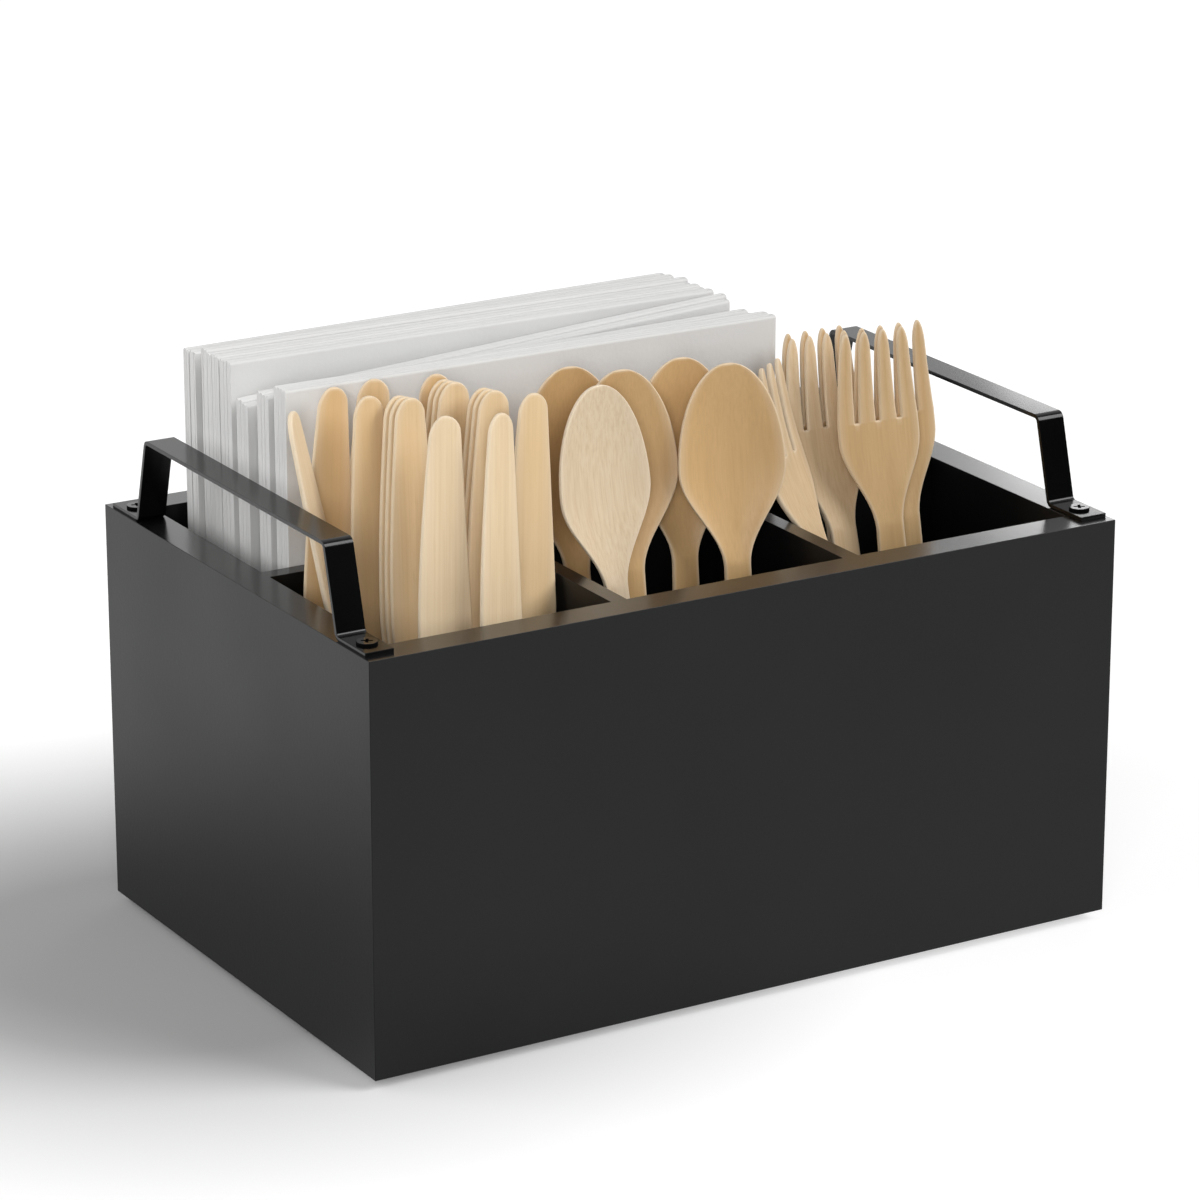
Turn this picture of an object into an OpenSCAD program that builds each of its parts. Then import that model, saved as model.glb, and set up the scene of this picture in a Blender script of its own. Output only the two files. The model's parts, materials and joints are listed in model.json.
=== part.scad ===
// Flatware caddy: a mitred box with one long rear compartment, three front compartments and a bent strap
// handle screwed to each short side. It is stocked with folded napkins and wooden knives, spoons and forks,
// and each of these lifts out by itself. The origin lies under the middle of the box, on the table.

/* [Box] */
// Outside length, left to right
box_l = 304.8; // [290:0.1:330]
// Outside width, front to back
box_w = 202.8; // [196:0.1:220]
// Height of the four walls
wall_h = 151.1; // [140:0.1:165]
// Thickness of the four walls
wall_t = 13; // [11:0.5:14]
// Thickness of the floor
floor_t = 6; // [4:0.5:8]
// Height of the floor's underside above the lower edge of the walls
floor_lift = 5; // [3:0.5:8]
// Depth of the groove in the walls that holds the floor
groove_d = 5; // [3:0.5:6]
// Room for glue at the bottom of each groove, housing and slot
glue_gap = 0.2; // [0.1:0.05:0.4]

/* [Corner splines] */
// Thickness of the strip set across each mitre
spline_t = 3; // [2:0.5:4]
// Width of the strip set across each mitre
spline_w = 10; // [6:0.5:12]
// Distance along the mitre from the outer corner to the middle of the strip
spline_in = 10.5; // [9:0.5:12]
// Distance from the rim down to the top of the strip
spline_stop = 15; // [10:1:30]

/* [Dividers] */
// Thickness of the three dividers
divider_t = 6.5; // [5:0.5:8]
// Distance of the dividers' upper edges below the rim
divider_drop = 0.5; // [0:0.1:3]
// Depth of the housings in the walls
housing_d = 4; // [2:0.5:6]
// Depth of the housings in the long divider
cross_housing_d = 2; // [1:0.5:3]
// Distance from the rim down to the top of each housing
housing_stop = 15; // [8:1:30]

/* [Handles] */
// Width of the strap
strap_w = 11; // [9:0.5:12.5]
// Thickness of the strap
strap_t = 1.5; // [1:0.1:2.5]
// Distance from the front or back of the box to the end of a handle's foot
handle_in = 4.6; // [2:0.1:8]
// Height of the grip's upper face above the rim
handle_rise = 32.6; // [25:0.1:45]
// Straight length of each foot
foot_l = 18.6; // [15:0.1:22]
// Slope of the legs
leg_angle = 75; // [60:1:90]
// Inside radius of the bends
bend_r = 1.5; // [1:0.25:3]

/* [Screws] */
// Diameter of the screw heads
screw_head_d = 7.4; // [6:0.1:9]
// Height of the screw heads
screw_head_h = 2.2; // [1.5:0.1:3]
// Diameter of the screw shanks
screw_d = 3.5; // [3:0.1:4.5]
// Length of the screws under the head
screw_l = 22; // [16:1:40]
// Distance from a foot's end to its screw
screw_in = 8.8; // [6:0.1:12]
// Room around the shank in the strap and in the wall
screw_clearance = 0.2; // [0.1:0.05:0.4]
// Width of the arms of the cross recess
recess_w = 1.1; // [0.8:0.1:1.4]
// Length of the cross recess
recess_l = 4.2; // [3:0.1:5]
// Depth of the cross recess
recess_d = 1.2; // [0.8:0.1:1.6]

/* [Feet] */
// Height of the walls' lower edges above the table
stand_h = 3.8; // [2:0.1:6]
// Diameter of the foot pads where they are stuck to the floor
pad_d = 14; // [10:0.5:20]
// Diameter of the pads' lower end
pad_foot_d = 11; // [8:0.5:14]
// Height of the bevel round the pads' lower end
pad_bevel = 0.8; // [0.3:0.1:1.2]
// Distance from the walls to a pad
pad_in = 4; // [1:0.5:20]

/* [Napkins] */
// Side of a folded napkin
napkin_side = 203; // [190:1:206]
// Thickness of a folded napkin
napkin_t = 4.4; // [3:0.1:4.8]
// Distance from the left wall to the stack
napkin_in = 11.4; // [5:0.1:40]

/* [Knives] */
// Length of a knife
knife_l = 206; // [195:1:210]
// Greatest width of the blade
knife_w = 20; // [17:0.5:21]
// Width of the blade just below its rounded tip
knife_tip_w = 10.6; // [9:0.2:13]
// Length over which the curved edge rounds into the tip
knife_edge_round = 7.5; // [5:0.5:10]
// Length over which the straight back rounds into the tip
knife_back_round = 5.5; // [3:0.5:7.5]
// Width of the waist between the handle and the blade
knife_waist_w = 13; // [10:0.5:15]
// Width of the handle's rounded end
knife_butt_w = 15; // [12:0.5:17]
// Length of the blade
knife_blade_l = 112; // [100:1:120]
// Distance from the tip to the widest place of the blade
knife_belly_l = 76; // [60:1:85]
// Thickness of a knife
knife_t = 1.8; // [1.4:0.1:2]
// Gap between knives that lie against each other
knife_gap = 0.4; // [0.3:0.1:1]
// Sideways slip between knives that lie against each other
knife_slip = 1; // [0:0.5:2]

/* [Spoons] */
// Length of a spoon
spoon_l = 203; // [195:1:210]
// Width of the bowl
bowl_w = 40; // [36:0.5:42]
// Length of the bowl, tip to neck
bowl_l = 74; // [66:1:80]
// Distance from the tip to the widest place of the bowl
bowl_mid = 38; // [32:1:42]
// Depth of the bowl
bowl_depth = 5; // [3:0.5:6]
// How far the tip is lifted towards the hollow side
bowl_tip_lift = 2; // [0:0.5:4]
// Thickness of a spoon
spoon_t = 2; // [1.6:0.1:2.4]
// Width of the neck
spoon_neck_w = 10; // [8:0.5:12]
// Width of the handle's rounded end
spoon_butt_w = 14; // [12:0.5:16]

/* [Forks] */
// Length of a fork
fork_l = 204; // [195:1:210]
// Greatest width of the head
fork_w = 31; // [28:0.5:33]
// Width across the tips of the tines
fork_tip_w = 25.3; // [23:0.1:27]
// Length of the head, tips to neck
fork_head_l = 73; // [66:1:80]
// Distance from the tips to the widest place of the head
fork_mid = 40; // [37:1:46]
// Length of the tines
tine_l = 34; // [28:1:36]
// Width of the slots between the tines at their lower end
slot_w = 1.4; // [1:0.1:2]
// Width of a tine at its tip, were the tip not rounded
tine_tip_w = 4.1; // [3:0.1:5]
// Length over which a tine rounds into its tip
tine_round = 8; // [4:0.5:12]
// Hollow of the head, seen from the side
fork_depth = 4; // [2:0.5:5]
// Thickness of a fork
fork_t = 2; // [1.6:0.1:2.4]
// Width of the neck
fork_neck_w = 10.6; // [9:0.2:12]
// Width of the handle's rounded end
fork_butt_w = 14; // [12:0.5:16]

/* [Seats] */
// Gap between a napkin or utensil and what it stands on or beside
seat_gap = 0.3; // [0.2:0.05:0.5]

/* [Hidden] */
$fn = 48;
eps = 0.01;

// Levels, from the table up
wall_z = stand_h;
floor_z = wall_z + floor_lift;
floor_top = floor_z + floor_t;
rim_z = wall_z + wall_h;
divider_top = rim_z - divider_drop;
housing_top = rim_z - housing_stop;

// Room inside the walls and places of the dividers
inner_l = box_l - 2*wall_t;
inner_w = box_w - 2*wall_t;
bay_l = (inner_l - 2*divider_t)/3;
bay_w = (inner_w - divider_t)/2;
cross_x = (bay_l + divider_t)/2;
bay_y = -(bay_w + divider_t)/2;
napkin_y = divider_t/2;

// Foot pads, in the corners under the floor
pad_h = stand_h + floor_lift;
pad_x = inner_l/2 - pad_in - pad_d/2;
pad_y = inner_w/2 - pad_in - pad_d/2;

// Handles: the run of the strap along one leg, and the number of short faces in a bend
bend_steps = 8;
handle_l = box_w - 2*handle_in;
strap_x = (box_l - wall_t)/2;
bend_mid_r = bend_r + strap_t/2;
leg_l = (handle_rise - strap_t - 2*bend_mid_r*(1 - cos(leg_angle)))/sin(leg_angle);
leg_run = 2*bend_mid_r*sin(leg_angle) + leg_l*cos(leg_angle);
grip_l = handle_l - 2*(foot_l + leg_run);
screw_y = handle_l/2 - screw_in;

// Groups of napkins, front first:
// [number, share of the free room in front of the group, drop of the left and right upper corners]
napkin_groups = [[2, 1, 0, 1], [2, 4.3, 5, 3], [2, 6.9, 12, 1], [5, 3.9, 0, 1], [2, 5.4, 3, 2]];
rear_share = 4.1;
napkin_pitch = napkin_t + seat_gap;
napkin_room = bay_w - total([for (g = napkin_groups) g[0]*napkin_pitch - seat_gap]);
room_unit = napkin_room/(total([for (g = napkin_groups) g[1]]) + rear_share);
napkins = [for (k = [len(napkin_groups) - 1:-1:0]) for (i = [napkin_groups[k][0] - 1:-1:0])
    [group_front(k) + i*napkin_pitch, napkin_groups[k][2], napkin_groups[k][3]]];

// Distance of the front of napkin group k from the long divider, and the sum of a list
function group_front(k) = napkin_groups[k][1]*room_unit
    + (k == 0 ? 0 : group_front(k - 1) + napkin_groups[k - 1][0]*napkin_pitch - seat_gap);
function total(list, i = 0) = i < len(list) ? list[i] + total(list, i + 1) : 0;

// Size of the bays for which the places of the cutlery are given; the places spread with the bays
drawn_bay_l = 88.6;
drawn_bay_w = 85.15;
function in_bay(place) =
    [place[0]*bay_l/drawn_bay_l, place[1]*bay_w/drawn_bay_w, place[2], place[3], place[4]];

// Bundles of knives, each from its front knife back:
// [x and y of the foot from the bay's middle, lean to the right, lean back, turn, number]
knife_bundles = [
    [-5, 15, -10.5, 4, 47, 1],
    [-33, 29, 4, 3, 0, 1],
    [-16, 31, 4, 3, -15, 1],
    [-17, 4, 1, 6, 0, 1],
    [-9, -5, 2, 6, 0, 3],
    [-17, -33, 5, 8, -10, 1],
    [9, 22, 3, 4, -15, 1],
    [7, 8, 4, 5, -5, 3],
    [12, -12, 5, 7, -5, 3],
    [2, -39, 4.5, 7.5, 15, 1],
    [22, -22, 5, 7, 0, 1],
];
knives = [for (b = knife_bundles) for (i = [0:b[5] - 1]) knife_place(b, i)];

// Spoons and forks: [x and y of the foot from the bay's middle, lean to the right, lean back, turn]
spoon_places = [
    [-27, 11, 0.5, 6, -10],
    [-17, -16, -3.5, 7, 8],
    [-11, -4, 0, 7, -10],
    [9, -1, 2, 7, -10],
    [26, -16, 0, 7, -15],
];
fork_places = [
    [-5, -31, -11.5, 16, 35],
    [-12, -16, -0.5, 14.5, -5],
    [-9.6, -9.4, -0.5, 14.5, -5],
    [6, -10, -2.5, 7, -15],
    [15.9, -5.8, -2.5, 7, -15],
];
spoons = [for (place = spoon_places) in_bay(place)];
forks = [for (place = fork_places) in_bay(place)];

CADDY_NODES = ["front_wall", "back_wall", "left_wall", "right_wall", "floor", "long_divider",
    "left_cross_divider", "right_cross_divider", "corner_splines", "left_handle", "right_handle",
    "left_handle_screws", "right_handle_screws", "foot_pads"];

// Place of knife number i in a bundle: each lies behind the one before it, slipped a little to the left
function knife_place(b, i) =
    let (first = in_bay(b), pitch = i*(knife_t + knife_gap), turn = b[4])
    first + [-pitch*sin(turn) - i*knife_slip*cos(turn), pitch*cos(turn) - i*knife_slip*sin(turn), 0, 0, 0];

// Half width of a handle at distance d from the tip: it widens from the neck and ends in a half circle
function handle_half(d, length, neck_d, neck_w, butt_w) =
    let (end = length - butt_w/2, run = (d - neck_d)/(end - neck_d))
    d > end ? sqrt(max(0, pow(butt_w/2, 2) - pow(d - end, 2))) : (neck_w + (butt_w - neck_w)*run)/2;

// Half width that falls from a wide place to the neck along a smooth shoulder
function shoulder_half(d, wide_d, wide_w, neck_d, neck_w) =
    neck_w/2 + (wide_w - neck_w)/4*(1 + cos(180*(d - wide_d)/(neck_d - wide_d)));

// Share of the width that a rounded tip leaves at distance d from its end
function tip_share(d, length) = d < length ? sqrt(1 - pow(1 - d/length, 2)) : 1;

// Half widths of a knife's blade at distance d from the tip: its curved edge and its straight back
function knife_edge_half(d) =
    d < knife_belly_l
    ? tip_share(d, knife_edge_round)*(knife_tip_w + (knife_w - knife_tip_w)*sin(90*d/knife_belly_l))/2
    : shoulder_half(d, knife_belly_l, knife_w, knife_blade_l, knife_waist_w);
function knife_back_half(d) =
    d < knife_belly_l
    ? tip_share(d, knife_back_round)*(knife_tip_w + (knife_w - knife_tip_w)*d/knife_belly_l)/2
    : shoulder_half(d, knife_belly_l, knife_w, knife_blade_l, knife_waist_w);

// Half width of a spoon and of a fork at distance d from the tip
function spoon_half(d) =
    d < bowl_mid ? bowl_w/2*tip_share(d, bowl_mid)
    : d < bowl_l ? shoulder_half(d, bowl_mid, bowl_w, bowl_l, spoon_neck_w)
    : handle_half(d, spoon_l, bowl_l, spoon_neck_w, spoon_butt_w);
function fork_half(d) =
    d < fork_mid ? (fork_tip_w + (fork_w - fork_tip_w)*sin(90*d/fork_mid))/2
    : d < fork_head_l ? shoulder_half(d, fork_mid, fork_w, fork_head_l, fork_neck_w)
    : handle_half(d, fork_l, fork_head_l, fork_neck_w, fork_butt_w);

// Set-back of the middle surface, at distance d from the tip and at a share q of the half width
function spoon_back(d, q) = d > bowl_l ? 0
    : bowl_depth*sin(180*d/bowl_l)*(1 - q*q) - bowl_tip_lift*pow(1 - d/bowl_l, 2);
function fork_back(d) = d > fork_head_l ? 0 : fork_depth*sin(180*d/fork_head_l);

// Distances from the tip at which a handle has its cross-sections, neck first
butt_turns = [0, 40, 65, 82];
function handle_stations(length, neck_d, butt_w) =
    concat([for (s = [0.05, 0.5]) neck_d + s*(length - neck_d)],
        [for (a = butt_turns) length - butt_w/2*(1 - sin(a))]);
spoon_tip_turns = [6, 20, 36, 54, 72, 90];
shoulder_steps = 7;
spoon_stations = concat(
    [for (a = spoon_tip_turns) bowl_mid*(1 - cos(a))],
    [for (i = [1:shoulder_steps]) bowl_mid + (bowl_l - bowl_mid)*i/shoulder_steps],
    handle_stations(spoon_l, bowl_l, spoon_butt_w));
fork_stations = concat(
    [tine_l],
    [for (i = [0:shoulder_steps]) fork_mid + (fork_head_l - fork_mid)*i/shoulder_steps],
    handle_stations(fork_l, fork_head_l, fork_butt_w));

// Tines: their cross-sections, and the shares of the half width for the edges and middle of each at the slots
tine_count = 4;
tine_turns = [90, 63, 42, 25, 12];
tine_stations = concat([0.6*tine_l], [for (a = tine_turns) tine_round*(1 - cos(a))]);
tine_base_w = (2*fork_half(tine_l) - (tine_count - 1)*slot_w)/tine_count;
function tine_mid(j, d) =
    let (base = (j - (tine_count - 1)/2)*(tine_base_w + slot_w),
        tip = (j - (tine_count - 1)/2)*(fork_tip_w - tine_tip_w)/(tine_count - 1))
    tip + (base - tip)*d/tine_l;
function tine_half(d) =
    tip_share(d, tine_round)*(tine_tip_w + (tine_base_w - tine_tip_w)*d/tine_l)/2;
fork_shares = [for (j = [0:tine_count - 1]) for (k = [-1, 0, 1])
    (tine_mid(j, tine_l) + k*tine_base_w/2)/fork_half(tine_l)];
spoon_cols = 9;
spoon_shares = [for (k = [0:spoon_cols - 1]) 2*k/(spoon_cols - 1) - 1];

// Faces of a thin lofted body: two triangles a cell, front and back, with its long sides
function cell(p, q, r, s) = [[p, q, r], [p, r, s]];
function front(i, k, cols) = 2*cols*i + k;
function back(i, k, cols) = 2*cols*i + cols + k;
function skin(rows, cols) = [for (i = [0:rows - 2]) each concat(
    [for (k = [0:cols - 2]) each cell(front(i, k, cols), front(i + 1, k, cols), front(i + 1, k + 1, cols),
        front(i, k + 1, cols))],
    [for (k = [0:cols - 2]) each cell(back(i, k, cols), back(i, k + 1, cols), back(i + 1, k + 1, cols),
        back(i + 1, k, cols))],
    cell(back(i, 0, cols), back(i + 1, 0, cols), front(i + 1, 0, cols), front(i, 0, cols)),
    cell(front(i, cols - 1, cols), front(i + 1, cols - 1, cols), back(i + 1, cols - 1, cols),
        back(i, cols - 1, cols)))];
function lower_cap(cols) = [for (k = [0:cols - 2])
    each cell(front(0, k, cols), front(0, k + 1, cols), back(0, k + 1, cols), back(0, k, cols))];
function upper_cap(i, k, cols) =
    cell(front(i, k + 1, cols), front(i, k, cols), back(i, k, cols), back(i, k + 1, cols));

// Wall with mitred ends: its outer face lies along X at y = 0, and its foot at z = 0
module mitred_wall(length) {
    linear_extrude(wall_h)
        polygon([[-length/2, 0], [length/2, 0], [length/2 - wall_t, wall_t], [wall_t - length/2, wall_t]]);
}

// Groove for the floor, along the inside of a wall
module floor_groove(length) {
    translate([-length/2 + wall_t - groove_d, wall_t - groove_d, floor_lift])
        cube([length - 2*(wall_t - groove_d), groove_d + eps, floor_t]);
}

// Slots across the mitres at both ends of a wall
module spline_slots(length) {
    for (side = [-1, 1])
        translate([side*length/2, 0, 0])
            spline_at(side, glue_gap);
}

// Strip across a mitre, set in from the outer corner at [0, 0], with room all round
module spline_at(side, room) {
    rotate(side < 0 ? 45 : 135)
        translate([spline_in - spline_t/2, -spline_w/2 - room, spline_foot - room])
            cube([spline_t, spline_w + 2*room, spline_head - spline_foot + 2*room]);
}
spline_foot = 2*floor_lift + floor_t;
spline_head = wall_h - spline_stop;

// Housing in a wall for the end of a divider whose middle is at x
module divider_housing(x) {
    translate([x - divider_t/2, wall_t - housing_d, floor_lift + floor_t])
        cube([divider_t, housing_d + eps, housing_top - floor_top]);
}

module grooved_wall(length, housings) {
    difference() {
        mitred_wall(length);
        floor_groove(length);
        spline_slots(length);
        for (x = housings)
            divider_housing(x);
    }
}

// Long walls, front and back
module long_wall(housings) {
    translate([0, -box_w/2, wall_z])
        grooved_wall(box_l, housings);
}

// Short wall on the left, with a hole in its upper edge for each handle screw
module short_wall() {
    difference() {
        translate([-box_l/2, 0, wall_z])
            rotate(-90)
                grooved_wall(box_w, [0]);
        for (side = [-1, 1])
            translate([-strap_x, side*screw_y, rim_z - screw_l])
                cylinder(d = screw_d + 2*screw_clearance, h = screw_l + eps);
    }
}

module front_wall() { color("#262626") long_wall([-cross_x, cross_x]); }
module back_wall() { color("#262626") rotate(180) long_wall([]); }
module left_wall() { color("#303030") short_wall(); }
module right_wall() { color("#303030") rotate(180) short_wall(); }

// Floor, let into the walls' grooves on all four sides
module floor_panel() {
    length = inner_l + 2*(groove_d - glue_gap);
    width = inner_w + 2*(groove_d - glue_gap);
    color("#202020")
        translate([-length/2, -width/2, floor_z])
            cube([length, width, floor_t]);
}

// Long divider, with a tongue at each end and a housing for each cross divider
module long_divider() {
    tongue = housing_d - glue_gap;
    color("#2c2a29")
        difference() {
            union() {
                translate([-inner_l/2, -divider_t/2, floor_top])
                    cube([inner_l, divider_t, divider_top - floor_top]);
                translate([-inner_l/2 - tongue, -divider_t/2, floor_top])
                    cube([inner_l + 2*tongue, divider_t, housing_top - floor_top]);
            }
            for (x = [-cross_x, cross_x])
                translate([x - divider_t/2, -divider_t/2 - eps, floor_top - eps])
                    cube([divider_t, cross_housing_d + eps, housing_top - floor_top + eps]);
        }
}

// Cross divider at x, with a tongue into the front wall and one into the long divider
module cross_divider(x) {
    front_tongue = housing_d - glue_gap;
    rear_tongue = cross_housing_d - glue_gap;
    color("#2c2a29")
        translate([x - divider_t/2, -inner_w/2, floor_top])
            union() {
                cube([divider_t, bay_w, divider_top - floor_top]);
                translate([0, -front_tongue, 0])
                    cube([divider_t, bay_w + front_tongue + rear_tongue, housing_top - floor_top]);
            }
}

module left_cross_divider() { cross_divider(-cross_x); }
module right_cross_divider() { cross_divider(cross_x); }

// Hidden strips that hold the four mitres
module corner_splines() {
    color("tan")
        for (x = [-1, 1])
            for (y = [-1, 1])
                translate([x*box_l/2, y*box_w/2, wall_z])
                    mirror([0, y > 0 ? 1 : 0, 0])
                        spline_at(x, 0);
}

// One side of the strap, seen along X, from a foot's end to the grip, at a height above its underside
function bend_arc(centre, radius, from, to) =
    [for (i = [0:bend_steps]) centre + radius*[cos(from + (to - from)*i/bend_steps),
        sin(from + (to - from)*i/bend_steps)]];
function strap_side(height) = concat(
    [[-handle_l/2, height]],
    bend_arc([foot_l - handle_l/2, strap_t + bend_r], bend_r + strap_t - height, -90, leg_angle - 90),
    bend_arc([-grip_l/2, handle_rise - strap_t - bend_r], bend_r + height, 90 + leg_angle, 90));
function mirrored(side) = [for (i = [len(side) - 1:-1:0]) [-side[i][0], side[i][1]]];
function reversed(side) = [for (i = [len(side) - 1:-1:0]) side[i]];

// Strap handle: a flat bar bent at both feet and at both ends of the grip, with a hole for each screw
module handle(x) {
    under = strap_side(0);
    upper = strap_side(strap_t);
    color("#161616")
        translate([x, 0, rim_z])
            difference() {
                rotate([90, 0, 90])
                    linear_extrude(strap_w, center = true)
                        polygon(concat(under, mirrored(under), reversed(mirrored(upper)), reversed(upper)));
                for (side = [-1, 1])
                    translate([0, side*screw_y, -eps])
                        cylinder(d = screw_d + 2*screw_clearance, h = strap_t + 2*eps);
            }
}

module left_handle() { handle(-strap_x); }
module right_handle() { handle(strap_x); }

// Pan-head screw with a cross recess, its head's underside at z = 0
module pan_screw() {
    tip_l = screw_d;
    difference() {
        rotate_extrude()
            polygon(concat(
                [[0, tip_l/4 - screw_l], [screw_d/2, tip_l - screw_l], [screw_d/2, 0], [screw_head_d/2, 0]],
                [for (a = [0:15:90])
                    [screw_head_d/2 - screw_head_h*0.6*(1 - cos(a)), screw_head_h*(0.4 + 0.6*sin(a))]],
                [[0, screw_head_h]]));
        for (turn = [0, 90])
            rotate(turn)
                translate([-recess_l/2, -recess_w/2, screw_head_h - recess_d])
                    cube([recess_l, recess_w, recess_d + eps]);
    }
}

module handle_screws(x) {
    color("#0e0e0e")
        for (side = [-1, 1])
            translate([x, side*screw_y, rim_z + strap_t])
                pan_screw();
}

module left_handle_screws() { handle_screws(-strap_x); }
module right_handle_screws() { handle_screws(strap_x); }

// Tapered pads under the corners of the floor, with a bevelled lower end
module foot_pads() {
    color("#101010")
        for (x = [-pad_x, pad_x])
            for (y = [-pad_y, pad_y])
                translate([x, y, 0])
                    rotate_extrude()
                        polygon([[0, 0], [pad_foot_d/2 - pad_bevel, 0], [pad_foot_d/2, pad_bevel],
                            [pad_d/2, pad_h], [0, pad_h]]);
}

// Folded napkin standing on the floor, with its upper corners a little out of true
module napkin(i) {
    place = napkins[i];
    color("#e2e2e0")
        translate([-inner_l/2 + napkin_in, napkin_y + place[0] + napkin_t, floor_top + seat_gap])
            rotate([90, 0, 0])
                linear_extrude(napkin_t)
                    polygon([[0, 0], [napkin_side, 0], [napkin_side, napkin_side - place[2]],
                        [0, napkin_side - place[1]]]);
}

// Stands a utensil on the floor of a bay: the middle of its rounded end is at the origin, its tip up
module standing(place, bay_x, butt_w) {
    translate([bay_x + place[0], bay_y + place[1], floor_top + seat_gap + butt_w/2])
        rotate([-place[3], place[2], 0])
            rotate(place[4])
                children();
}

// Knife: a flat blade with a straight back, a curved edge and a rounded tip
knife_tip = knife_l - knife_butt_w/2;
blade_steps = 14;
knife_stations = concat(
    [for (a = [0:15:90]) knife_edge_round*(1 - cos(a))],
    [for (i = [1:blade_steps]) knife_edge_round + (knife_blade_l - knife_edge_round)*i/blade_steps]);
knife_outline = concat(
    [for (d = knife_stations) [-knife_edge_half(d), knife_tip - d]],
    [for (a = [180:15:360]) knife_butt_w/2*[cos(a), sin(a)]],
    [for (i = [len(knife_stations) - 1:-1:1])
        [knife_back_half(knife_stations[i]), knife_tip - knife_stations[i]]]);
module knife(i) {
    color("#d8c29c")
        standing(knives[i], -bay_l - divider_t, knife_butt_w)
            rotate([90, 0, 0])
                linear_extrude(knife_t, center = true)
                    polygon(knife_outline);
}

// Point on the front face (side = -1) or the back face (side = 1) of a utensil
function spoon_point(d, q, side) =
    [q*spoon_half(d), spoon_back(d, q) + side*spoon_t/2, spoon_l - spoon_butt_w/2 - d];
function fork_point(x, d, side) =
    [x, fork_back(d) + side*fork_t/2, fork_l - fork_butt_w/2 - d];

// Spoon: a loft from the rounded end of the handle to the tip of the bowl
module spoon(i) {
    rows = len(spoon_stations);
    points = [for (r = [rows - 1:-1:0]) for (side = [-1, 1]) for (q = spoon_shares)
        spoon_point(spoon_stations[r], q, side)];
    faces = concat(skin(rows, spoon_cols), lower_cap(spoon_cols),
        [for (k = [0:spoon_cols - 2]) each upper_cap(rows - 1, k, spoon_cols)]);
    color("#cfb182")
        standing(spoons[i], 0, spoon_butt_w)
            polyhedron(points, faces);
}

// Fork: a loft from the rounded end of the handle to the slots, from which each tine goes on by itself
module fork(i) {
    rows = len(fork_stations);
    cols = 3*tine_count;
    body = [for (r = [rows - 1:-1:0]) for (side = [-1, 1]) for (q = fork_shares)
        fork_point(q*fork_half(fork_stations[r]), fork_stations[r], side)];
    tines = [for (j = [0:tine_count - 1]) for (d = tine_stations) for (side = [-1, 1]) for (k = [-1, 0, 1])
        fork_point(tine_mid(j, d) + k*tine_half(d), d, side)];
    steps = len(tine_stations);
    // Index of a point of tine j: step 0 is the row at the slots' lower end
    function f(j, r, k) = r == 0 ? front(rows - 1, 3*j + k, cols) : len(body) + 6*(j*steps + r - 1) + k;
    function b(j, r, k) = r == 0 ? back(rows - 1, 3*j + k, cols) : f(j, r, k) + 3;
    tine_faces = [for (j = [0:tine_count - 1]) for (r = [0:steps - 1]) each concat(
        [for (k = [0, 1]) each cell(f(j, r, k), f(j, r + 1, k), f(j, r + 1, k + 1), f(j, r, k + 1))],
        [for (k = [0, 1]) each cell(b(j, r, k), b(j, r, k + 1), b(j, r + 1, k + 1), b(j, r + 1, k))],
        cell(b(j, r, 0), b(j, r + 1, 0), f(j, r + 1, 0), f(j, r, 0)),
        cell(f(j, r, 2), f(j, r + 1, 2), b(j, r + 1, 2), b(j, r, 2)))];
    tip_faces = [for (j = [0:tine_count - 1]) for (k = [0, 1])
        each cell(f(j, steps, k + 1), f(j, steps, k), b(j, steps, k), b(j, steps, k + 1))];
    slot_faces = [for (j = [1:tine_count - 1]) each upper_cap(rows - 1, 3*j - 1, cols)];
    color("#cfb182")
        standing(forks[i], bay_l + divider_t, fork_butt_w)
            polyhedron(concat(body, tines),
                concat(skin(rows, cols), lower_cap(cols), slot_faces, tine_faces, tip_faces));
}

front_wall();
back_wall();
left_wall();
right_wall();
floor_panel();  // floor
long_divider();
left_cross_divider();
right_cross_divider();
corner_splines();
left_handle();
right_handle();
left_handle_screws();
right_handle_screws();
foot_pads();
for (i = [1:len(napkins)])
    napkin(i - 1);
for (i = [1:len(knives)])
    knife(i - 1);
for (i = [1:len(spoons)])
    spoon(i - 1);
for (i = [1:len(forks)])
    fork(i - 1);
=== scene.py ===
"""Looks of a flatware caddy: a black box with two strap handles, stocked with napkins and wooden cutlery."""

from __future__ import annotations

import json
import logging
import math
from collections.abc import Callable, Iterator, Sequence
from contextlib import contextmanager
from dataclasses import dataclass
from enum import Enum
from typing import Any

import bpy
import numpy as np
from mathutils import Matrix, Vector

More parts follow.
